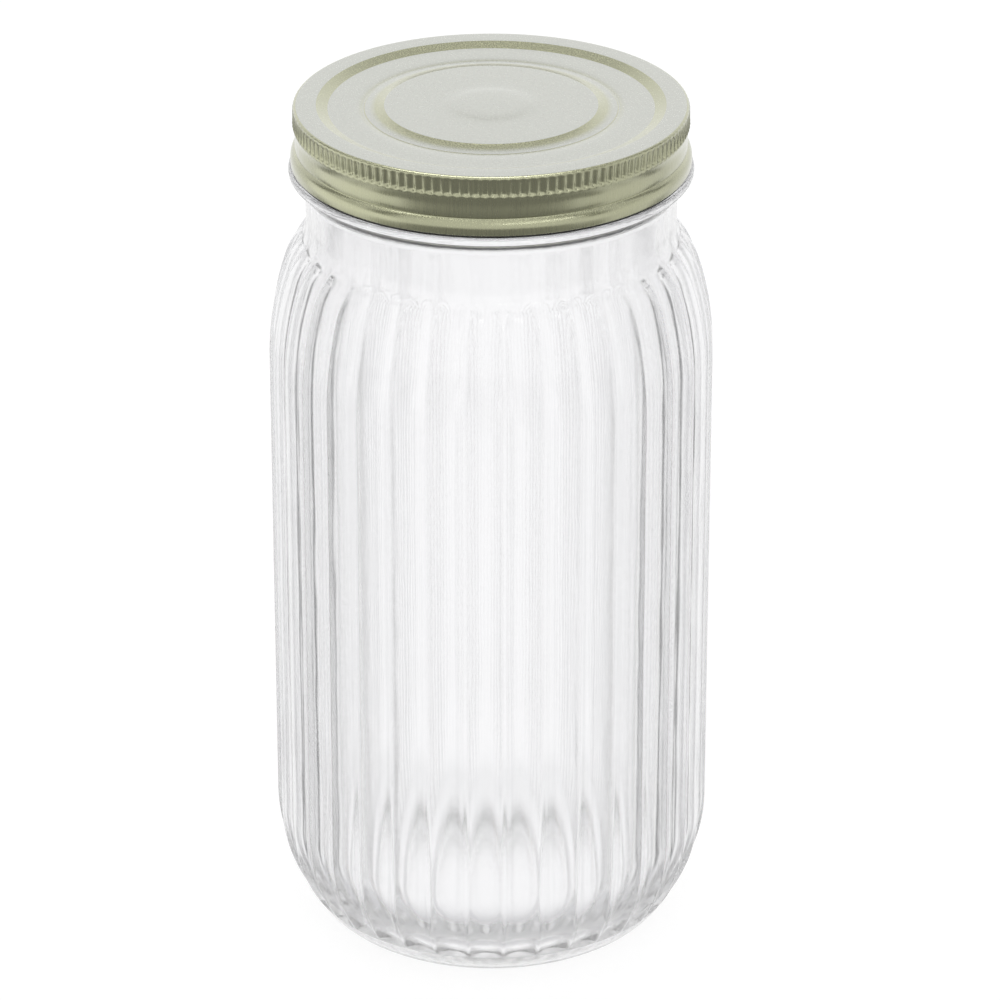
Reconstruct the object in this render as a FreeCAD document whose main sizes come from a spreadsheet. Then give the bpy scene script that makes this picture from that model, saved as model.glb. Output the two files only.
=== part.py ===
"""Fluted preserving jar with its screw lid.

A clear glass jar with thirty-six hollow flutes stands on a narrow ring, and a pressed
metal lid with a stepped top and a rolled skirt is screwed down on its rim.
Millimetres, +Z up, origin at the middle of the foot, where the jar stands.
"""
import FreeCAD
import Part
import math
import os
import Sketcher
from types import SimpleNamespace

DRIVING_SIZES = [
    # glass jar, outside
    ("body_radius", 57.5),  # over the ridges between the flutes
    ("jar_height", 228.4),  # table to the glass rim
    ("heel_low_radius", 12.9),  # tight curve next to the foot
    ("heel_high_radius", 49.1),  # wide curve that runs up into the wall
    ("heel_join_angle", 36.9),  # where the two heel curves meet, below level
    ("shoulder_low_radius", 79.6),  # wide curve that leaves the wall
    ("shoulder_high_radius", 22.2),  # tight curve under the neck
    ("shoulder_join_angle", 18.0),  # where the two shoulder curves meet, above level
    ("neck_inset", 10.0),  # neck stands in from the body by this much
    ("neck_root_radius", 6.0),  # hollow curve from shoulder to neck
    ("neck_length", 11.6),  # straight part of the neck
    ("collar_proud", 1.3),  # collar under the lid, out beyond the lid's grip band
    ("collar_nose_radius", 1.1),  # half the collar's height
    ("collar_slope", 2.0),  # height of the slope from the neck out to the collar
    ("thread_reach", 1.0),  # neck inside the lid, out from the neck below
    ("rim_corner_radius", 1.2),  # rounding of the rim, inside and outside
    # glass jar, inside and underneath
    ("wall", 4.0),  # ridge to inside
    ("floor_thickness", 5.0),  # at the middle
    ("push_up", 3.5),  # rise of the underside at the middle
    ("foot_width", 3.0),  # flat ring that the jar stands on
    ("inner_heel_radius", 22.0),  # between floor and wall
    # flutes
    ("flute_count", 36),
    ("flute_radius", 8.0),  # round hollow of one flute
    ("flute_depth", 1.75),  # at its middle, below the ridges
    ("flute_ease", 3.0),  # extra radius of its path, which makes it shallower where it bends
    ("flute_foot_angle", 31.6),  # where it stops on the heel, below level
    ("flute_head_angle", 38.0),  # where its round head is centred on the shoulder
    # metal lid, from its middle outwards
    ("button_radius", 11.0),
    ("button_rise", 0.35),  # above the panel's edge
    ("panel_rise", 0.9),  # above the ledge
    ("panel_slope", 5.2),  # width of the slope down from the panel
    ("groove_slope", 2.0),  # width of the slope up from the groove to the ledge
    ("groove_drop", 0.2),  # below the ledge
    ("ledge_width", 7.5),
    ("step_width", 3.3),
    ("step_drop", 1.0),  # ledge below the lid's raised channel
    ("channel_width", 5.0),
    ("lid_corner_radius", 0.9),
    ("sheet", 0.35),
    ("lining", 1.15),  # sealing ring under the channel, which sits on the glass rim
    # metal lid, from its top edge down
    ("lid_height", 15.7),
    ("grip_low", 5.1),  # top edge to the foot of the grip band
    ("waist_low", 6.9),  # top edge to the waist under the grip band
    ("waist_depth", 0.5),
    ("crease_low", 11.2),  # top edge to the crease above the bead
    ("crease_depth", 0.65),
    ("bead_radius", 4.0),
    ("bead_foot_depth", 0.4),
    ("curl_reach", 0.7),  # rolled bottom edge, out beyond the grip band
    ("curl_radius", 0.8),
    # clearances between lid and glass
    ("thread_gap", 1.0),  # inside of the skirt to the neck
    ("collar_gap", 0.35),  # rolled edge to the collar
]


class Size:
    """A length, an angle or a ratio: its number, and the expression that gives it."""

    def __init__(self, number, text):
        self.number = number
        self.text = text

    def join(self, sign, other, number):
        text = other.text if isinstance(other, Size) else repr(other)
        return Size(number, f"({self.text} {sign} {text})")

    def __add__(self, other):
        return self.join("+", other, self.number + plain(other))

    def __sub__(self, other):
        return self.join("-", other, self.number - plain(other))

    def __mul__(self, other):
        return self.join("*", other, self.number * plain(other))

    def __truediv__(self, other):
        return self.join("/", other, self.number / plain(other))


def plain(size):
    return size.number if isinstance(size, Size) else size


def cosine(angle):
    return Size(math.cos(math.radians(angle.number)), f"cos({angle.text})")


def sine(angle):
    return Size(math.sin(math.radians(angle.number)), f"sin({angle.text})")


def root(square):
    return Size(math.sqrt(square.number), f"sqrt({square.text})")


ZERO = Size(0.0, "0")


def sheet_of_sizes(document):
    """Fills the sheet and hands back every driving size by its name."""
    sheet = document.addObject("Spreadsheet::Sheet", "Sizes")
    named = {}
    for row, (name, value) in enumerate(DRIVING_SIZES, start=1):
        sheet.set(f"A{row}", name)
        sheet.set(f"B{row}", str(value))
        sheet.setAlias(f"B{row}", name)
        named[name] = Size(float(value), f"Sizes.{name}")
    document.recompute()
    return named


def new_sketch(body, name, role):
    """A sketch on one of the body's own origin planes."""
    plane = next(item for item in body.Origin.OriginFeatures if item.Role == role)
    sketch = body.newObject("Sketcher::SketchObject", name)
    sketch.AttachmentSupport = [(plane, "")]
    sketch.MapMode = "FlatFace"
    return sketch


def bind(sketch, kind, geometry, point, size):
    """Fixes one coordinate of a point to its size, or to the sketch axis where it is zero."""
    if size is ZERO:
        axis = -2 if kind == "DistanceX" else -1
        sketch.addConstraint(Sketcher.Constraint("PointOnObject", geometry, point, axis))
        return
    place = Sketcher.Constraint(kind, -1, 1, geometry, point, size.number)
    sketch.setExpression(f"Constraints[{sketch.addConstraint(place)}]", size.text)


def bind_radius(sketch, geometry, size):
    radius = Sketcher.Constraint("Radius", geometry, size.number)
    sketch.setExpression(f"Constraints[{sketch.addConstraint(radius)}]", size.text)


def add_run(sketch, here, there, radius=None, turn=0):
    """Adds a line, or an arc that turns left (+1) or right (-1); hands back its two ends."""
    start = FreeCAD.Vector(here[0].number, here[1].number, 0)
    end = FreeCAD.Vector(there[0].number, there[1].number, 0)
    if radius is None:
        return sketch.addGeometry(Part.LineSegment(start, end)), 1, 2
    chord = end - start
    left = FreeCAD.Vector(-chord.y, chord.x, 0) / chord.Length
    rise = math.sqrt(radius.number ** 2 - chord.Length ** 2 / 4)
    centre = (start + end) / 2 + left * rise * turn
    circle = Part.Circle(centre, FreeCAD.Vector(0, 0, 1), radius.number)
    first, last = (start, end) if turn > 0 else (end, start)
    angles = [math.atan2(p.y - centre.y, p.x - centre.x) for p in (first, last)]
    if angles[1] < angles[0]:
        angles[1] += 2 * math.pi
    geometry = sketch.addGeometry(Part.ArcOfCircle(circle, *angles))
    bind_radius(sketch, geometry, radius)
    return (geometry, 1, 2) if turn > 0 else (geometry, 2, 1)


def draw(sketch, start, steps, closed=True):
    """Draws an outline from corner to corner; a step is a corner and, for an arc, its bend."""
    runs = []
    here = start
    for there, *bend in steps:
        geometry, first, last = add_run(sketch, here, there, *bend)
        bind(sketch, "DistanceX", geometry, first, here[0])
        bind(sketch, "DistanceY", geometry, first, here[1])
        if runs:
            sketch.addConstraint(
                Sketcher.Constraint("Coincident", runs[-1][0], runs[-1][2], geometry, first))
        runs.append((geometry, first, last))
        here = there
    last_run = runs[-1]
    if closed:
        sketch.addConstraint(
            Sketcher.Constraint("Coincident", last_run[0], last_run[2], runs[0][0], runs[0][1]))
    else:
        bind(sketch, "DistanceX", last_run[0], last_run[2], here[0])
        bind(sketch, "DistanceY", last_run[0], last_run[2], here[1])


def polar(centre, radius, angle):
    """The point at a radius and an angle above level from a centre."""
    return centre[0] + radius * cosine(angle), centre[1] + radius * sine(angle)


class Form:
    """Places that the jar and the lid share, worked out from the driving sizes."""

    def __init__(self, s):
        self.bore = s.body_radius - s.neck_inset - s.wall
        self.neck = s.body_radius - s.neck_inset
        # heel, from the wall down to the foot
        low, high, turn = s.heel_low_radius, s.heel_high_radius, s.heel_join_angle
        self.heel_top = low - low * sine(turn) + high * sine(turn)
        self.heel_centre = (s.body_radius - high, self.heel_top)
        self.heel_join = polar(self.heel_centre, high, turn * -1)
        self.foot = self.heel_join[0] - low * cosine(turn)
        # lid's edge and the collar just under it
        self.lid_top = s.jar_height + s.lining + s.sheet
        self.lid_edge = self.lid_top - s.lid_height
        self.skirt_inside = self.neck + s.thread_reach + s.thread_gap
        self.lid_radius = self.skirt_inside + s.sheet + s.crease_depth
        self.collar_radius = self.lid_radius + s.collar_proud
        self.collar_middle = self.lid_edge - s.collar_gap - s.collar_nose_radius
        self.collar_low = self.collar_middle - s.collar_nose_radius
        self.neck_top = self.collar_low - s.collar_slope
        self.neck_low = self.neck_top - s.neck_length
        # shoulder, from the neck down to the wall
        low, high, turn = s.shoulder_low_radius, s.shoulder_high_radius, s.shoulder_join_angle
        across = s.body_radius - low + (low - high) * cosine(turn)
        reach = high + s.neck_root_radius
        root_out = self.neck + s.neck_root_radius - across
        drop = root(reach * reach - root_out * root_out)
        self.shoulder_centre = (across, self.neck_low - drop)
        self.root_centre = (self.neck + s.neck_root_radius, self.neck_low)
        self.root_run = (root_out / reach, drop / reach)
        self.wall_top = self.shoulder_centre[1] - (low - high) * sine(turn)
        self.wall_centre = (s.body_radius - low, self.wall_top)

    def root_start(self, radius):
        """Where the shoulder's tight curve of this radius turns into the neck's hollow."""
        return (self.shoulder_centre[0] + self.root_run[0] * radius,
                self.shoulder_centre[1] + self.root_run[1] * radius)


def jar_outline(sketch, s, form):
    """Half section of the jar before its flutes are cut."""
    foot_inner = form.foot - s.foot_width
    push_up_radius = (foot_inner * foot_inner + s.push_up * s.push_up) / (s.push_up * 2)
    nose = form.collar_radius - s.collar_nose_radius
    collar_top = form.collar_middle + s.collar_nose_radius
    land = form.neck + s.thread_reach
    rim_low = s.jar_height - s.rim_corner_radius
    inside = s.body_radius - s.wall
    floor_top = s.push_up + s.floor_thickness
    shoulder_low, shoulder_high = s.shoulder_low_radius, s.shoulder_high_radius
    draw(sketch, (ZERO, s.push_up), [
        ((foot_inner, ZERO), push_up_radius, -1),
        ((form.foot, ZERO),),
        (form.heel_join, s.heel_low_radius, 1),
        ((s.body_radius, form.heel_top), s.heel_high_radius, 1),
        ((s.body_radius, form.wall_top),),
        (polar(form.wall_centre, shoulder_low, s.shoulder_join_angle), shoulder_low, 1),
        (form.root_start(shoulder_high), shoulder_high, 1),
        ((form.neck, form.neck_low), s.neck_root_radius, -1),
        ((form.neck, form.neck_top),),
        ((nose, form.collar_low),),
        ((form.collar_radius, form.collar_middle), s.collar_nose_radius, 1),
        ((nose, collar_top), s.collar_nose_radius, 1),
        ((land, collar_top),),
        ((land, rim_low),),
        ((land - s.rim_corner_radius, s.jar_height), s.rim_corner_radius, 1),
        ((form.bore + s.rim_corner_radius, s.jar_height),),
        ((form.bore, rim_low), s.rim_corner_radius, 1),
        ((form.bore, form.neck_low),),
        (form.root_start(shoulder_high - s.wall), s.neck_root_radius + s.wall, 1),
        (polar(form.wall_centre, shoulder_low - s.wall, s.shoulder_join_angle),
         shoulder_high - s.wall, -1),
        ((inside, form.wall_top), shoulder_low - s.wall, -1),
        ((inside, floor_top + s.inner_heel_radius),),
        ((inside - s.inner_heel_radius, floor_top), s.inner_heel_radius, -1),
        ((ZERO, floor_top),),
        ((ZERO, s.push_up),),
    ])


def flute_paths(up, down, s, form, mid_wall):
    """Centre lines of a flute's round hollow, from mid wall; hands back the upper end."""
    stand_off = s.flute_radius - s.flute_depth
    ease = stand_off + s.flute_ease
    line = s.body_radius + stand_off
    heel_centre = (form.heel_centre[0] - s.flute_ease, form.heel_top)
    heel_radius = s.heel_high_radius + ease
    draw(down, (line, mid_wall), [
        ((line, form.heel_top),),
        (polar(heel_centre, heel_radius, s.flute_foot_angle * -1), heel_radius, -1),
    ], closed=False)
    low_radius = s.shoulder_low_radius + ease
    high_radius = s.shoulder_high_radius + ease
    low_centre = (form.wall_centre[0] - s.flute_ease, form.wall_top)
    join = polar(low_centre, low_radius, s.shoulder_join_angle)
    high_centre = polar(join, high_radius * -1, s.shoulder_join_angle)
    head = polar(high_centre, high_radius, s.flute_head_angle)
    draw(up, (line, mid_wall), [
        ((line, form.wall_top),),
        (join, low_radius, 1),
        (head, high_radius, 1),
    ], closed=False)
    return head


def revolved(body, sketch):
    turned = body.newObject("PartDesign::Revolution", f"{sketch.Name}_turned")
    turned.Profile = sketch
    turned.ReferenceAxis = (sketch, ["V_Axis"])
    turned.Angle = 360
    return turned


def all_round(body, name, cuts, section, count):
    """Repeats cuts evenly about the upright axis."""
    pattern = body.newObject("PartDesign::PolarPattern", name)
    pattern.Originals = cuts
    pattern.Axis = (section, ["V_Axis"])
    pattern.Angle = 360
    pattern.setExpression("Occurrences", count.text)
    body.Tip = pattern


def glass_jar(document, s, form):
    """Blown glass: a turned jar, with one flute cut and repeated all round."""
    body = document.addObject("PartDesign::Body", "glass_jar")
    section = new_sketch(body, "jar_section", "XZ_Plane")
    jar_outline(section, s, form)
    revolved(body, section)

    mid_wall = (form.heel_top + form.wall_top) / 2
    profile = new_sketch(body, "flute_profile", "XY_Plane")
    profile.setExpression(".AttachmentOffset.Base.z", mid_wall.text)
    stand_off = s.body_radius + s.flute_radius - s.flute_depth
    centre = FreeCAD.Vector(stand_off.number, 0, 0)
    circle = Part.Circle(centre, FreeCAD.Vector(0, 0, 1), s.flute_radius.number)
    hollow = profile.addGeometry(circle)
    bind(profile, "DistanceX", hollow, 3, stand_off)
    bind(profile, "DistanceY", hollow, 3, ZERO)
    bind_radius(profile, hollow, s.flute_radius)
    up = new_sketch(body, "flute_path_up", "XZ_Plane")
    down = new_sketch(body, "flute_path_down", "XZ_Plane")
    head = flute_paths(up, down, s, form, mid_wall)
    document.recompute()

    cuts = []
    for path in (up, down):
        run = body.newObject("PartDesign::SubtractivePipe", f"{path.Name}_cut")
        run.Profile = profile
        run.Spine = (path, [f"Edge{n + 1}" for n in range(path.GeometryCount)])
        cuts.append(run)
    all_round(body, "flutes", cuts, section, s.flute_count)
    ball = body.newObject("PartDesign::SubtractiveSphere", "flute_head")
    ball.setExpression("Radius", s.flute_radius.text)
    ball.setExpression(".Placement.Base.x", head[0].text)
    ball.setExpression(".Placement.Base.z", head[1].text)
    all_round(body, "flute_heads", [ball], section, s.flute_count)
    return body


def lid_outline(sketch, s, form):
    """Half section of the pressed lid, over its top and down the skirt, then back inside."""
    top = form.lid_top
    ledge = top - s.step_drop
    step_top = form.lid_radius - s.channel_width
    step_foot = step_top - s.step_width
    ledge_inner = step_foot - s.ledge_width
    groove = ledge_inner - s.groove_slope
    panel = groove - s.panel_slope
    pressed = [
        (ledge_inner, ledge),
        (groove, ledge - s.groove_drop),
        (panel, ledge + s.panel_rise),
        (s.button_radius, ledge + s.panel_rise + s.button_rise),
        (ZERO, ledge + s.panel_rise + s.button_rise),
    ]
    crown = [(corner,) for corner in reversed(pressed[:-1])]
    underside = [((across, up - s.sheet),) for across, up in pressed]
    curl_middle = form.lid_edge + s.curl_radius
    curl_top = curl_middle + s.curl_radius
    curl_centre = form.lid_radius + s.curl_reach - s.curl_radius
    draw(sketch, pressed[-1], [
        *crown,
        ((step_foot, ledge),),
        ((step_top, top),),
        ((form.lid_radius - s.lid_corner_radius, top),),
        ((form.lid_radius, top - s.lid_corner_radius), s.lid_corner_radius, -1),
        ((form.lid_radius, top - s.grip_low),),
        ((form.lid_radius - s.waist_depth, top - s.waist_low),),
        ((form.lid_radius - s.crease_depth, top - s.crease_low),),
        ((form.lid_radius - s.bead_foot_depth, curl_top), s.bead_radius, -1),
        ((curl_centre, curl_top),),
        ((curl_centre + s.curl_radius, curl_middle), s.curl_radius, -1),
        ((curl_centre, form.lid_edge), s.curl_radius, -1),
        ((form.skirt_inside, form.lid_edge),),
        ((form.skirt_inside, s.jar_height),),
        ((step_foot, s.jar_height),),
        ((step_foot, ledge - s.sheet),),
        *underside,
        (pressed[-1],),
    ])


def metal_lid(document, s, form):
    """Pressed tinplate with its sealing ring, screwed down until the ring meets the rim."""
    body = document.addObject("PartDesign::Body", "metal_lid")
    section = new_sketch(body, "lid_section", "XZ_Plane")
    lid_outline(section, s, form)
    body.Tip = revolved(body, section)
    return body


def main():
    document = FreeCAD.newDocument("preserving_jar")
    sizes = SimpleNamespace(**sheet_of_sizes(document))
    form = Form(sizes)
    nodes = [glass_jar(document, sizes, form), metal_lid(document, sizes, form)]
    document.recompute()
    for item in document.Objects:
        if "Invalid" in item.State or "Error" in item.State:
            raise RuntimeError(f"{item.Name} failed: {item.State}")
    for node in nodes:
        if node.Shape.isNull() or not node.Shape.isValid():
            raise RuntimeError(f"{node.Label} has no valid shape")
    os.makedirs("parts", exist_ok=True)
    for node in nodes:
        node.Shape.exportStep(f"parts/{node.Label}.step")
        print(f"{node.Label}: {len(node.Shape.Solids)} solid, {node.Shape.Volume:.0f} mm3")


main()
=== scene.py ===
"""Fluted glass preserving jar with its pale gold screw lid, on a plain pale floor.

Sizes are metres. Angles are radians unless a name says degrees. The jar stands on z = 0 and
its axis is the Z axis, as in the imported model. A half section is a list of points, and each
point is a distance from the axis and a height.
"""

import math

import bmesh
import bpy
from mathutils import Euler, Matrix, Vector


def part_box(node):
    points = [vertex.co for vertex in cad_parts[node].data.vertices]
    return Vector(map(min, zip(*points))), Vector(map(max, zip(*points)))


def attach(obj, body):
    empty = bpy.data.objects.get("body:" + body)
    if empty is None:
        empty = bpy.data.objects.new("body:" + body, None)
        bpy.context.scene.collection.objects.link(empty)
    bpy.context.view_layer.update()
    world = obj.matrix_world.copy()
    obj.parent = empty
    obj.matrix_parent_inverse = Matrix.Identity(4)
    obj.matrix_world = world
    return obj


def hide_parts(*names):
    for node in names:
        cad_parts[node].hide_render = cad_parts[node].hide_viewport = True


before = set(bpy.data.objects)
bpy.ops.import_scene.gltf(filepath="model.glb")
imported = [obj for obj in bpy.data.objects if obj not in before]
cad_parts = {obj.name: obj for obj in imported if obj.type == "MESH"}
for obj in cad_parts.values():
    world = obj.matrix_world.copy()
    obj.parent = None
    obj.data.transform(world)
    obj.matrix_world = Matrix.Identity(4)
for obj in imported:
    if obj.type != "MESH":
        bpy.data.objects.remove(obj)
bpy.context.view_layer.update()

# ---------------------------------------------------------------------------
# Glass jar
# Clear soda-lime glass, pressed in a fluted mould. The wall is thick, the thirty-six
# flutes are hollow and the ridges between them are narrow. It stands on a thin ring.
# ---------------------------------------------------------------------------
rim_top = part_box("glass_jar")[1].z
lid_low, lid_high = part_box("metal_lid")

BODY_RADIUS, WALL = 0.0575, 0.004
HEEL_LOW, HEEL_HIGH, HEEL_JOIN = 0.0129, 0.0491, math.radians(36.9)
SHOULDER_LOW, SHOULDER_HIGH, SHOULDER_JOIN = 0.0796, 0.0222, math.radians(18)
NECK_INSET, NECK_LENGTH, NECK_ROOT = 0.010, 0.0116, 0.006
COLLAR_NOSE, COLLAR_SLOPE, COLLAR_GAP, COLLAR_PROUD = 0.0011, 0.002, 0.00035, 0.0013
FLARE_START = 0.0028
FLARE = ((0.0002, 0.0009), (0.0008, 0.0021), (0.0017, 0.0035))
LID_REACH, LAND_REACH, RIM_CORNER = 0.003, 0.001, 0.0012
FLUTES, FLUTE_RADIUS, FLUTE_DEPTH, FLUTE_EASE = 36, 0.008, 0.00175, 0.003
FLUTE_FOOT, FLUTE_HEAD = math.radians(-31.6), math.radians(38)
SILL_BELOW, SILL_NEAR, SILL_PAST = 0.012, 0.005, 0.006
STEPS_PER_FLUTE, RIDGE_ROUND = 20, 0.00022
PUSH_UP, FOOT_WIDTH, FLOOR_THICKNESS, INNER_HEEL = 0.0035, 0.003, 0.005, 0.022
HAIR = 1e-5


def around(centre, radius, start, end, steps):
    """Points of an arc in the half section, both ends included."""
    turns = [start + (end - start) * k / steps for k in range(steps + 1)]
    return [(centre[0] + radius * math.cos(t), centre[1] + radius * math.sin(t)) for t in turns]


def between(first, last, steps):
    """Points along a straight run, without its first point."""
    return [(first[0] + (last[0] - first[0]) * k / steps,
             first[1] + (last[1] - first[1]) * k / steps) for k in range(1, steps + 1)]


def sector(outline, angle, steps):
    """Spins a half section about the Z axis by an angle that starts at the XZ plane."""
    mesh = bmesh.new()
    verts = [mesh.verts.new((across, 0, up)) for across, up in outline]
    edges = [mesh.edges.new(pair) for pair in zip(verts, verts[1:])]
    bmesh.ops.spin(mesh, geom=verts + edges, cent=(0, 0, 0), axis=(0, 0, 1),
                   angle=angle, steps=steps, use_duplicate=False)
    return mesh


def all_round(mesh, count):
    """Repeats one sector all round and closes it into a smooth mesh with outward faces."""
    turn = 2 * math.pi / count
    bmesh.ops.spin(mesh, geom=mesh.verts[:] + mesh.edges[:] + mesh.faces[:], cent=(0, 0, 0),
                   axis=(0, 0, 1), angle=turn * (count - 1), steps=count - 1, use_duplicate=True)
    bmesh.ops.remove_doubles(mesh, verts=mesh.verts, dist=1e-6)
    bmesh.ops.recalc_face_normals(mesh, faces=mesh.faces)
    for face in mesh.faces:
        face.smooth = True


def finished(mesh, name):
    """Makes an object of a bmesh and frees the bmesh."""
    data = bpy.data.meshes.new(name)
    mesh.to_mesh(data)
    mesh.free()
    piece = bpy.data.objects.new(name, data)
    bpy.context.scene.collection.objects.link(piece)
    return piece


def new_material(name):
    """A material with its nodes, its links and its main shader."""
    material = bpy.data.materials.new(name)
    material.use_nodes = True
    nodes = material.node_tree.nodes
    return material, nodes, material.node_tree.links, nodes["Principled BSDF"]


def stretched(nodes, links, source, scale):
    """Coordinates scaled by a different amount each way."""
    node = nodes.new("ShaderNodeMapping")
    node.inputs["Scale"].default_value = scale
    links.new(source, node.inputs["Vector"])
    return node.outputs["Vector"]


def noise(nodes, links, source, scale, detail):
    """Soft random value from 0 to 1 over some coordinates."""
    node = nodes.new("ShaderNodeTexNoise")
    node.inputs["Scale"].default_value = scale
    node.inputs["Detail"].default_value = detail
    links.new(source, node.inputs["Vector"])
    return node.outputs["Fac"]


def spread(nodes, links, source, low, high):
    """Turns a value from 0 to 1 into one from low to high."""
    node = nodes.new("ShaderNodeMapRange")
    node.inputs["To Min"].default_value = low
    node.inputs["To Max"].default_value = high
    links.new(source, node.inputs["Value"])
    return node.outputs["Result"]


def bump(nodes, links, source, strength, distance):
    """Normal roughened by a value taken as a height."""
    node = nodes.new("ShaderNodeBump")
    node.inputs["Strength"].default_value = strength
    node.inputs["Distance"].default_value = distance
    links.new(source, node.inputs["Height"])
    return node.outputs["Normal"]


# Centres of the arcs and heights of the joins, from the heel up to the collar.
neck = BODY_RADIUS - NECK_INSET
bore = neck - WALL
inside = BODY_RADIUS - WALL
heel_top = (HEEL_LOW - HEEL_LOW * math.sin(HEEL_JOIN) + HEEL_HIGH * math.sin(HEEL_JOIN))
heel_centre = (BODY_RADIUS - HEEL_HIGH, heel_top)
toe_centre = (heel_centre[0] + (HEEL_HIGH - HEEL_LOW) * math.cos(HEEL_JOIN), HEEL_LOW)
lid_radius = neck + LID_REACH
collar = lid_radius + COLLAR_PROUD
collar_z = lid_low.z - COLLAR_GAP - COLLAR_NOSE
nose_x = collar - COLLAR_NOSE
nose_low = collar_z - COLLAR_NOSE
neck_top = nose_low - COLLAR_SLOPE
neck_low = neck_top - NECK_LENGTH
flare_low = neck_top - FLARE_START
shoulder_x = (BODY_RADIUS - SHOULDER_LOW
              + (SHOULDER_LOW - SHOULDER_HIGH) * math.cos(SHOULDER_JOIN))
root_out = neck + NECK_ROOT - shoulder_x
root_drop = math.sqrt((SHOULDER_HIGH + NECK_ROOT) ** 2 - root_out ** 2)
shoulder_centre = (shoulder_x, neck_low - root_drop)
root_turn = math.atan2(root_drop, root_out)
root_centre = (neck + NECK_ROOT, neck_low)
wall_top = shoulder_centre[1] - (SHOULDER_LOW - SHOULDER_HIGH) * math.sin(SHOULDER_JOIN)
wall_centre = (BODY_RADIUS - SHOULDER_LOW, wall_top)
foot = toe_centre[0]
foot_inner = foot - FOOT_WIDTH
floor_top = PUSH_UP + FLOOR_THICKNESS
land = neck + LAND_REACH
rim_low = rim_top - RIM_CORNER

# The half section: up the outside from the pushed-up base, over the rim, down the inside.
outline = [(0, PUSH_UP)]
for share in (0.3, 0.6, 0.85, 1.0):
    outline.append((foot_inner * share, PUSH_UP * (1 - share ** 2)))
outline += between((foot_inner, 0), (foot, 0), 2)
outline += around(toe_centre, HEEL_LOW, -math.pi / 2, -HEEL_JOIN, 8)[1:]
outline += around(heel_centre, HEEL_HIGH, -HEEL_JOIN, FLUTE_FOOT - SILL_BELOW, 2)[1:]
outline += around(heel_centre, HEEL_HIGH, FLUTE_FOOT - SILL_NEAR, FLUTE_FOOT, 1)
outline += around(heel_centre, HEEL_HIGH, FLUTE_FOOT + SILL_PAST, 0, 14)
outline += between((BODY_RADIUS, heel_top), (BODY_RADIUS, wall_top), 2)
outline += around(wall_centre, SHOULDER_LOW, 0, SHOULDER_JOIN, 7)[1:]
outline += around(shoulder_centre, SHOULDER_HIGH, SHOULDER_JOIN, root_turn, 20)[1:]
outline += around(root_centre, NECK_ROOT, root_turn + math.pi, math.pi, 5)[1:]
outline += between((neck, neck_low), (neck, flare_low), 3)
outline += [(neck + out, flare_low + up) for out, up in FLARE]
outline += [(nose_x - 0.0004, nose_low - 0.0002), (nose_x, nose_low)]
outline += around((nose_x, collar_z), COLLAR_NOSE, -math.pi / 2, math.pi / 2, 8)[1:]
outline += between((nose_x, collar_z + COLLAR_NOSE), (land, collar_z + COLLAR_NOSE), 1)
outline += between((land, collar_z + COLLAR_NOSE), (land, rim_low), 2)
outline += around((land - RIM_CORNER, rim_low), RIM_CORNER, 0, math.pi / 2, 4)[1:]
outline += around((bore + RIM_CORNER, rim_low), RIM_CORNER, math.pi / 2, math.pi, 4)
outline += between((bore, rim_low), (bore, neck_low), 2)
outline += around(root_centre, NECK_ROOT + WALL, math.pi, root_turn + math.pi, 6)[1:]
outline += around(shoulder_centre, SHOULDER_HIGH - WALL, root_turn, SHOULDER_JOIN, 10)[1:]
outline += around(wall_centre, SHOULDER_LOW - WALL, SHOULDER_JOIN, 0, 5)[1:]
outline += between((inside, wall_top), (inside, floor_top + INNER_HEEL), 2)
outline += around((inside - INNER_HEEL, floor_top + INNER_HEEL), INNER_HEEL,
                  0, -math.pi / 2, 12)[1:]
outline += between((inside - INNER_HEEL, floor_top), (0, floor_top), 3)

pitch = 2 * math.pi / FLUTES
jar = sector(outline, pitch, STEPS_PER_FLUTE)

# A flute is the path of a ball whose centre runs stand_off outside the wall and stops at
# head, where the ball's own round closes the flute.
stand_off = FLUTE_RADIUS - FLUTE_DEPTH
head_reach = SHOULDER_HIGH + stand_off + FLUTE_EASE
head = (shoulder_centre[0] - FLUTE_EASE + head_reach * math.cos(FLUTE_HEAD),
        shoulder_centre[1] + head_reach * math.sin(FLUTE_HEAD))


def outward(across, up):
    """Angle above level at which the outside of the jar faces here."""
    if up < heel_top:
        return math.atan2(up - heel_centre[1], across - heel_centre[0])
    if up < wall_top:
        return 0.0
    join_up = wall_centre[1] + SHOULDER_LOW * math.sin(SHOULDER_JOIN)
    centre = wall_centre if up < join_up else shoulder_centre
    return math.atan2(up - centre[1], across - centre[0])


def hollowed(across, up, side):
    """How far the wall lies in from the plain round at an angle off a flute's middle."""
    facing = outward(across, up)
    out, rise = math.cos(facing), math.sin(facing)
    here = Vector((across * math.cos(side), across * math.sin(side), up))
    way = Vector((out * math.cos(side), out * math.sin(side), rise))
    if facing < FLUTE_HEAD:
        gap = stand_off + FLUTE_EASE * (1 - out)
        apart = here - Vector((across + out * gap, 0, up + rise * gap))
        along = Vector((-rise, 0, out))
        apart -= along * apart.dot(along)
        way -= along * way.dot(along)
    else:
        apart = here - Vector((head[0], 0, head[1]))
    a, b, c = way.dot(way), apart.dot(way), apart.dot(apart) - FLUTE_RADIUS ** 2
    return 0.0 if c >= 0 else (b + math.sqrt(b * b - a * c)) / a


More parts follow.
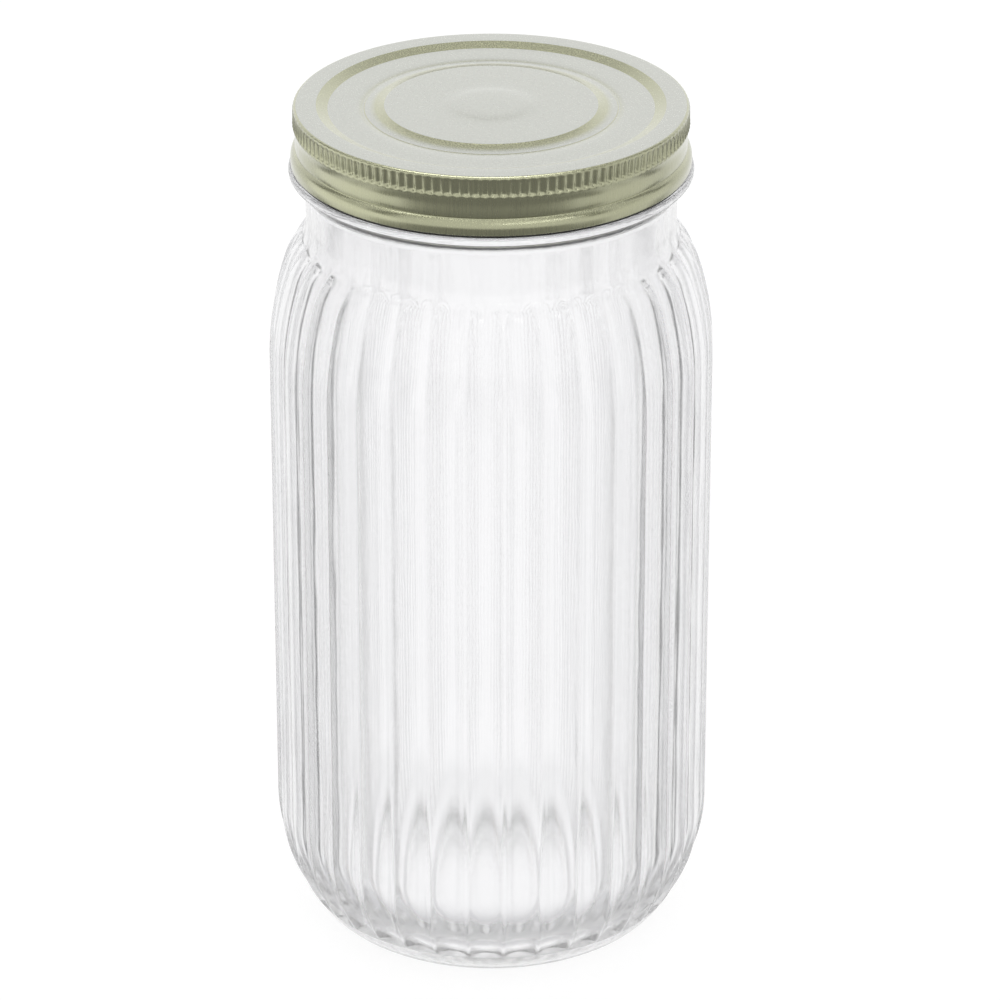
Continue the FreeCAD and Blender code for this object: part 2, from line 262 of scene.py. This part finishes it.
def scoop(vert):
    """Moves a vertex of the outside in to the wall of the flute, with a rounded ridge."""
    across = math.hypot(vert.co.x, vert.co.y)
    up = vert.co.z
    middle = pitch / 2
    part = (math.atan2(vert.co.y, vert.co.x) - middle) / middle
    side = middle * math.sin(part * math.pi / 2)
    facing = outward(across, up)
    depth = 0.0
    if facing > FLUTE_FOOT - 10 * HAIR:
        ridge = hollowed(across, up, middle)
        floor_depth = hollowed(across, up, 0) - ridge
        past = hollowed(across, up, side) - ridge
        if floor_depth > 0:
            rounded = math.hypot(past, RIDGE_ROUND) - RIDGE_ROUND
            most = math.hypot(floor_depth, RIDGE_ROUND) - RIDGE_ROUND
            depth = ridge + rounded * floor_depth / most
    angle = middle + side
    across -= depth * math.cos(facing)
    vert.co = (across * math.cos(angle), across * math.sin(angle), up - depth * math.sin(facing))


def on_arc(across, up, centre, radius):
    """Whether a point of the half section lies on this arc."""
    return abs(math.hypot(across - centre[0], up - centre[1]) - radius) < HAIR


for vert in jar.verts:
    across, up = math.hypot(vert.co.x, vert.co.y), vert.co.z
    if up < heel_top:
        outer = on_arc(across, up, heel_centre, HEEL_HIGH)
    elif up <= wall_top:
        outer = across > BODY_RADIUS - HAIR
    else:
        outer = up <= neck_low and (on_arc(across, up, wall_centre, SHOULDER_LOW)
                                    or on_arc(across, up, shoulder_centre, SHOULDER_HIGH))
    if outer:
        scoop(vert)

all_round(jar, FLUTES)
bmesh.ops.rotate(jar, verts=jar.verts, cent=(0, 0, 0),
                 matrix=Matrix.Rotation(-pitch / 2, 3, "Z"))
glass_jar = finished(jar, "jar_glass")

# Polished all over, with the faint upright ripples that a mould leaves in the glass.
GLASS_INDEX = 1.51
glass, nodes, links, shader = new_material("clear_flint_glass")
shader.inputs["Base Color"].default_value = (0.995, 0.995, 1.0, 1)
shader.inputs["Roughness"].default_value = 0.15
shader.inputs["IOR"].default_value = GLASS_INDEX
shader.inputs["Transmission Weight"].default_value = 1.0
place = nodes.new("ShaderNodeTexCoord").outputs["Object"]
ripple = noise(nodes, links, stretched(nodes, links, place, (420, 420, 70)), 1.0, 0.0)
links.new(bump(nodes, links, ripple, 0.3, 0.00025), shader.inputs["Normal"])

# The foot ring is stippled, so that it grips and doesn't chip.
base_glass, nodes, links, shader = new_material("stippled_base_glass")
shader.inputs["Base Color"].default_value = (0.97, 0.97, 0.975, 1)
shader.inputs["IOR"].default_value = GLASS_INDEX
shader.inputs["Transmission Weight"].default_value = 1.0
place = nodes.new("ShaderNodeTexCoord").outputs["Object"]
stipple = noise(nodes, links, place, 1500, 2.0)
links.new(spread(nodes, links, stipple, 0.5, 0.6), shader.inputs["Roughness"])

glass_jar.data.materials.append(glass)
glass_jar.data.materials.append(base_glass)
for face in glass_jar.data.polygons:
    across = math.hypot(face.center.x, face.center.y)
    if face.normal.z < -0.9 and face.center.z < 0.0006 and across > foot_inner - 0.001:
        face.material_index = 1
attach(glass_jar, "root")
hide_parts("glass_jar")

# ---------------------------------------------------------------------------
# Metal lid
# Tin plate, pressed in rings, with a knurled grip, a rolled bead and a curled foot. Its
# half section is repeated all round, one knurl at a time. Pale gold lacquer covers it.
# ---------------------------------------------------------------------------
KNURLS, KNURL_HEIGHT, KNURL_BLOB = 136, 0.0005, 0.00015
KNURL_FADE_TOP, KNURL_FADE_FOOT, KNURL_BLOB_REACH = 0.0012, 0.0004, 0.0005
PANEL_DROP, GRIP_DROP, WAIST_DROP, CREASE_DROP = 0.001, 0.0051, 0.0069, 0.0112
EDGE_ROUND, BEAD_ROUND, CURL_ROUND = 0.0009, 0.0033, 0.0008
# The hem hangs below the curled foot to carry the painted shade of the gap there.
BEAD_PROUD, BEAD_HEIGHT, SHADE_HEM = 0.0007, 0.0019, 0.0003
LINING_REACH, SHEET = 0.0016, 0.00035
lid_top = lid_high.z - 0.00025
edge_z = lid_low.z
flat_z = lid_top - PANEL_DROP
grip_foot = lid_top - GRIP_DROP
waist_z = lid_top - WAIST_DROP
crease_z = lid_top - CREASE_DROP
curl_x = lid_radius + BEAD_PROUD - CURL_ROUND
bead_x = lid_radius + BEAD_PROUD - BEAD_ROUND
lining_x = neck + LINING_REACH

# The top from its middle out: a low boss on a flat panel, the panel's rounded edge and the
# slope down from it, a fine groove, a level ring, and the raised ring with its outer edge.
crown = [(across, flat_z + up) for across, up in (
    (0, 0.00098), (0.004, 0.00097), (0.0075, 0.00094), (0.0092, 0.00088), (0.0103, 0.00079),
    (0.0112, 0.00071), (0.0122, 0.00066), (0.0138, 0.00064), (0.0180, 0.00065),
    (0.0225, 0.00066), (0.0268, 0.00063))]
crown += around((0.0271, flat_z - 0.00017), 0.0008, math.radians(88), math.radians(55), 3)
crown += [(0.0300, flat_z + 0.00016), (0.0317, flat_z - 0.00016)]
crown += around((0.0325, flat_z + 0.0005), 0.0007, math.radians(240), math.radians(290), 3)
crown += [(0.0341, flat_z - 0.00003), (0.0345, flat_z), (0.0375, flat_z), (0.0412, flat_z)]
crown += around((0.0415, flat_z + 0.0005), 0.0005, math.radians(-90), math.radians(-68), 3)
crown += around((0.0446, lid_top - 0.0007), 0.0007, math.radians(112), math.radians(90), 3)
crown += [(0.0470, lid_top), (0.0492, lid_top)]
crown += around((lid_radius - EDGE_ROUND, lid_top - EDGE_ROUND), EDGE_ROUND, math.pi / 2, 0, 7)
grip = between((lid_radius, lid_top - EDGE_ROUND), (lid_radius, grip_foot), 12)

# The skirt below the grip: waist, crease, bead, curled foot and a hem under it, which carries
# painted shade for the dark gap under the foot.
skirt = [(lid_radius - deep, up) for deep, up in (
    (0.00012, grip_foot - 0.0003), (0.0003, grip_foot - 0.0009), (0.00045, grip_foot - 0.0016),
    (0.00052, waist_z - 0.0006), (0.00052, waist_z - 0.0011), (0.00047, waist_z - 0.0020),
    (0.00043, waist_z - 0.0030), (0.00045, crease_z + 0.0006), (0.00052, crease_z + 0.0002),
    (0.00066, crease_z), (0.0005, crease_z - 0.00014))]
skirt += around((bead_x, edge_z + BEAD_HEIGHT), BEAD_ROUND, math.radians(40), 0, 14)
skirt += around((curl_x, edge_z + CURL_ROUND), CURL_ROUND, 0, -math.pi / 2, 7)
skirt += [(curl_x + 0.0002, edge_z - SHADE_HEM), (curl_x - 0.0003, edge_z - SHADE_HEM)]

# The inside, with the sealing ring that rests on the jar's rim.
inner = [(lining_x, edge_z + 0.0004), (lining_x, crease_z), (lining_x, waist_z)]
inner += [(lining_x, rim_top + 0.0001), (0.0440, rim_top + 0.0001), (0.0405, flat_z - SHEET)]
inner += [(0.0345, flat_z - SHEET), (0.0317, flat_z - 0.00012 - SHEET)]
inner += [(0.0262, flat_z + 0.0006 - SHEET), (0.0110, flat_z + 0.0003), (0, flat_z + 0.0005)]

knurl = 2 * math.pi / KNURLS
lid = sector(crown + grip + skirt + inner, knurl, 4)
for vert in lid.verts:
    across, up = math.hypot(vert.co.x, vert.co.y), vert.co.z
    if across < lid_radius - 0.0006 or up < grip_foot - 0.0001 or up > lid_top - 0.0001:
        continue
    part = math.atan2(vert.co.y, vert.co.x) / knurl
    ridge = (0.5 - 0.5 * math.cos(2 * math.pi * part)) ** 2
    near = min(1.0, (lid_top - up) / KNURL_FADE_TOP,
               (up - grip_foot + KNURL_FADE_FOOT / 2) / KNURL_FADE_FOOT)
    from_blob = abs(up - grip_foot - KNURL_BLOB_REACH)
    blob = KNURL_BLOB * ridge * max(0.0, 1 - from_blob / KNURL_BLOB_REACH)
    lean = 0.5 + 1.1 * (lid_top - up) / (lid_top - grip_foot)
    shrink = 1 - (KNURL_HEIGHT * lean * (1 - ridge) * max(0.0, near) - blob) / across
    vert.co.x, vert.co.y = vert.co.x * shrink, vert.co.y * shrink
all_round(lid, KNURLS)
metal_lid = finished(lid, "lid_metal")

# Satin lacquer over brushed plate, gold on the slopes and the skirt. Level faces get a paler
# colour, a painted sheen that stands in for their reflection of the bright overhead.
GOLD, PAINTED_SHEEN = (0.35, 0.355, 0.20, 1), (0.39, 0.40, 0.35, 1)
lacquer, nodes, links, shader = new_material("pale_gold_lacquer_with_painted_sheen")
shader.inputs["Metallic"].default_value = 1.0
shader.inputs["Coat Weight"].default_value = 1.0
shader.inputs["Coat IOR"].default_value = 2.0
shader.inputs["Coat Roughness"].default_value = 0.22
place = nodes.new("ShaderNodeTexCoord")
lie = nodes.new("ShaderNodeSeparateXYZ")
links.new(place.outputs["Normal"], lie.inputs[0])
# Painted sheen: the flatter a face lies, the more of the paler colour it takes.
painted_sheen_share = nodes.new("ShaderNodeMapRange")
painted_sheen_share.inputs["From Min"].default_value = 0.98
painted_sheen_share.inputs["From Max"].default_value = 0.997
links.new(lie.outputs["Z"], painted_sheen_share.inputs["Value"])
gold = nodes.new("ShaderNodeMix")
gold.data_type = "RGBA"
gold.inputs["A"].default_value = GOLD
gold.inputs["B"].default_value = PAINTED_SHEEN
links.new(painted_sheen_share.outputs["Result"], gold.inputs["Factor"])
upright = stretched(nodes, links, place.outputs["Object"], (2200, 2200, 60))
brushing = noise(nodes, links, upright, 1.0, 2.0)
tone = nodes.new("ShaderNodeVectorMath")
tone.operation = "SCALE"
links.new(gold.outputs["Result"], tone.inputs[0])
links.new(spread(nodes, links, brushing, 0.9, 1.1), tone.inputs["Scale"])
links.new(tone.outputs[0], shader.inputs["Base Color"])
links.new(spread(nodes, links, brushing, 0.2, 0.36), shader.inputs["Roughness"])
links.new(bump(nodes, links, brushing, 0.06, 0.0001), shader.inputs["Normal"])

# Nearly black, as painted shade: the inside of the skirt and the hem under the curled foot stand
# in for the shadowed gap between lid and collar.
inner_painted_shade, nodes, links, shader = new_material("painted_shade_dark_lacquer")
place = nodes.new("ShaderNodeTexCoord").outputs["Object"]
mottle = noise(nodes, links, place, 900, 2.0)
shade = nodes.new("ShaderNodeMix")
shade.data_type = "RGBA"
shade.inputs["A"].default_value = (0.024, 0.024, 0.02, 1)
shade.inputs["B"].default_value = (0.036, 0.036, 0.03, 1)
links.new(mottle, shade.inputs["Factor"])
links.new(shade.outputs["Result"], shader.inputs["Base Color"])
links.new(spread(nodes, links, mottle, 0.4, 0.6), shader.inputs["Roughness"])

metal_lid.data.materials.append(lacquer)
metal_lid.data.materials.append(inner_painted_shade)
# Painted shade: the faces inside the skirt and under the curled foot take the nearly black
# colour.
for face in metal_lid.data.polygons:
    across, up = math.hypot(face.center.x, face.center.y), face.center.z
    shaded_inside = lining_x - 2 * HAIR < across < lid_radius - 0.001 and up < rim_top - 0.001
    if shaded_inside or up < edge_z + 0.0004:
        face.material_index = 1
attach(metal_lid, "root")
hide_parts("metal_lid")

# ---------------------------------------------------------------------------
# Floor
# A sweep of plain white paper. The lens sees it white with the jar's soft shadow on it,
# and glass and metal look past it into the surround, as on a clear table.
# ---------------------------------------------------------------------------
PAPER_GLOW, GLOW_SHARE = 1.12, 0.8
floor_mesh = bmesh.new()
bmesh.ops.create_circle(floor_mesh, cap_ends=True, segments=96, radius=6)
floor = finished(floor_mesh, "studio_floor")
paper, nodes, links, shader = new_material("white_paper")
shader.inputs["Base Color"].default_value = (0.9, 0.9, 0.9, 1)
shader.inputs["Roughness"].default_value = 0.9
shader.inputs["Specular IOR Level"].default_value = 0
glow = nodes.new("ShaderNodeEmission")
glow.inputs["Strength"].default_value = PAPER_GLOW
path = nodes.new("ShaderNodeLightPath")
share = nodes.new("ShaderNodeMath")
share.operation = "MULTIPLY"
share.inputs[1].default_value = GLOW_SHARE
links.new(path.outputs["Is Camera Ray"], share.inputs[0])
mix = nodes.new("ShaderNodeMixShader")
links.new(share.outputs[0], mix.inputs[0])
links.new(shader.outputs[0], mix.inputs[1])
links.new(glow.outputs[0], mix.inputs[2])
links.new(mix.outputs[0], nodes["Material Output"].inputs["Surface"])
paper.cycles.emission_sampling = "NONE"
floor.data.materials.append(paper)
floor.visible_transmission = False
floor.visible_glossy = False

# ---------------------------------------------------------------------------
# Light and surround
# White paper in front and behind. At each side stands a dark strip, which draws the ridges
# of the glass, with pale paper beyond it, and steeply below all is plain grey.
# ---------------------------------------------------------------------------
# Degrees off the line from front to back, each with the brightness there.
WHITE_TO, DARK_FROM, BEYOND = 56, 60, ((69, 0.08), (74, 1.0), (83, 1.0), (89, 0.6))
world = bpy.data.worlds.new("studio")
world.cycles.sampling_method = "NONE"
bpy.context.scene.world = world
world.use_nodes = True
nodes, links = world.node_tree.nodes, world.node_tree.links
background = nodes["Background"]
toward = nodes.new("ShaderNodeTexCoord")
parts = nodes.new("ShaderNodeSeparateXYZ")
links.new(toward.outputs["Generated"], parts.inputs[0])
sideways = nodes.new("ShaderNodeMath")
sideways.operation = "ABSOLUTE"
links.new(parts.outputs["X"], sideways.inputs[0])
depth = nodes.new("ShaderNodeMath")
depth.operation = "ABSOLUTE"
links.new(parts.outputs["Y"], depth.inputs[0])
turn_off = nodes.new("ShaderNodeMath")
turn_off.operation = "ARCTAN2"
links.new(sideways.outputs[0], turn_off.inputs[0])
links.new(depth.outputs[0], turn_off.inputs[1])
part_turn = nodes.new("ShaderNodeMath")
part_turn.operation = "DIVIDE"
part_turn.inputs[1].default_value = math.pi / 2
links.new(turn_off.outputs[0], part_turn.inputs[0])
sides = nodes.new("ShaderNodeValToRGB")
ramp = sides.color_ramp
ramp.interpolation = "EASE"
ramp.elements[0].position = WHITE_TO / 90
ramp.elements[0].color = (1, 1, 1, 1)
ramp.elements[1].position = DARK_FROM / 90
ramp.elements[1].color = (0.08, 0.08, 0.085, 1)
for degrees, level in BEYOND:
    ramp.elements.new(degrees / 90).color = (level, level, level, 1)
links.new(part_turn.outputs[0], sides.inputs[0])
steepness = nodes.new("ShaderNodeMapRange")
steepness.inputs["From Min"].default_value = -0.62
steepness.inputs["From Max"].default_value = -0.85
links.new(parts.outputs["Z"], steepness.inputs["Value"])
around_all = nodes.new("ShaderNodeMix")
around_all.data_type = "RGBA"
around_all.inputs["B"].default_value = (0.68, 0.68, 0.69, 1)
links.new(steepness.outputs["Result"], around_all.inputs["Factor"])
links.new(sides.outputs["Color"], around_all.inputs["A"])
path = nodes.new("ShaderNodeLightPath")
lens = nodes.new("ShaderNodeMix")
lens.data_type = "RGBA"
lens.inputs["B"].default_value = (1, 1, 1, 1)
links.new(path.outputs["Is Camera Ray"], lens.inputs["Factor"])
links.new(around_all.outputs["Result"], lens.inputs["A"])
links.new(lens.outputs["Result"], background.inputs["Color"])

# ---------------------------------------------------------------------------
# Cards
# Sheets of paper and soft boxes that only the metal and the gloss of the glass see. The
# three flags are grey and give the lid its depth, and the other sheets are bright.
# ---------------------------------------------------------------------------
# Name, brightness, place, size, and tilt in degrees.
for name, level, at, size, tilt in (
        ("front_flag", 0.47, (0.0, -1.22, 0.005), (1.6, 1.55), (0, 0, 0)),
        ("top_flag", 0.75, (0, 1.3, 2.0), (2.4, 1.7), (0, 0, 0)),
        ("top_light", 7.0, (-0.2, 0.08, 2.0), (1.6, 0.46), (0, 0, 0)),
        ("back_light", 1.15, (0, 3.0, 1.3), (5, 1.9), (90, 0, 0)),
        ("left_light", 1.3, (-0.5, -0.1, 0.17), (0.7, 0.34), (90, 0, -90)),
        ("right_light", 1.0, (0.5, -0.1, 0.17), (0.7, 0.34), (90, 0, 90)),
        ("right_strip", 5.0, (0.49, -0.85, 0.91), (0.9, 0.05), (55, 0, 30)),
        ("skirt_flag", 0.3, (0, -0.205, 0.165), (0.24, 0.26), (0, 0, 0))):
    turned = Euler([math.radians(degrees) for degrees in tilt])
    card_mesh = bmesh.new()
    bmesh.ops.create_grid(card_mesh, x_segments=1, y_segments=1, size=0.5,
                          matrix=Matrix.LocRotScale(Vector(at), turned, Vector((*size, 1))))
    card = finished(card_mesh, name)
    sheet_glow, nodes, links, shader = new_material(name + "_glow")
    glow = nodes.new("ShaderNodeEmission")
    glow.inputs["Strength"].default_value = level
    links.new(glow.outputs[0], nodes["Material Output"].inputs["Surface"])
    sheet_glow.cycles.emission_sampling = "NONE"
    card.data.materials.append(sheet_glow)
    card.visible_camera = False
    card.visible_diffuse = False
    card.visible_transmission = False
    card.visible_shadow = False

# ---------------------------------------------------------------------------
# Camera
# A long lens in front of the jar and well above it, tilted down, so that the top of the
# lid and the whole body show. Light passes through the glass many times.
# ---------------------------------------------------------------------------
DISTANCE, HEIGHT, AZIMUTH, PITCH = 1.2796, 0.7299, math.radians(1.7), math.radians(25.55)
YAW, LENS, SENSOR = math.radians(-0.100), 194.4, 36
BOUNCES = 24
scene = bpy.context.scene
camera_data = bpy.data.cameras.new("camera")
camera_data.lens = LENS
camera_data.sensor_width = SENSOR
camera = bpy.data.objects.new("camera", camera_data)
scene.collection.objects.link(camera)
camera.location = (DISTANCE * math.sin(AZIMUTH), -DISTANCE * math.cos(AZIMUTH), HEIGHT)
turn = Matrix.Rotation(AZIMUTH + YAW, 3, "Z") @ Matrix.Rotation(math.pi / 2 - PITCH, 3, "X")
camera.rotation_euler = turn.to_euler()
scene.camera = camera
scene.view_settings.view_transform = "Standard"
scene.cycles.max_bounces = BOUNCES
scene.cycles.transmission_bounces = BOUNCES
scene.cycles.glossy_bounces = BOUNCES
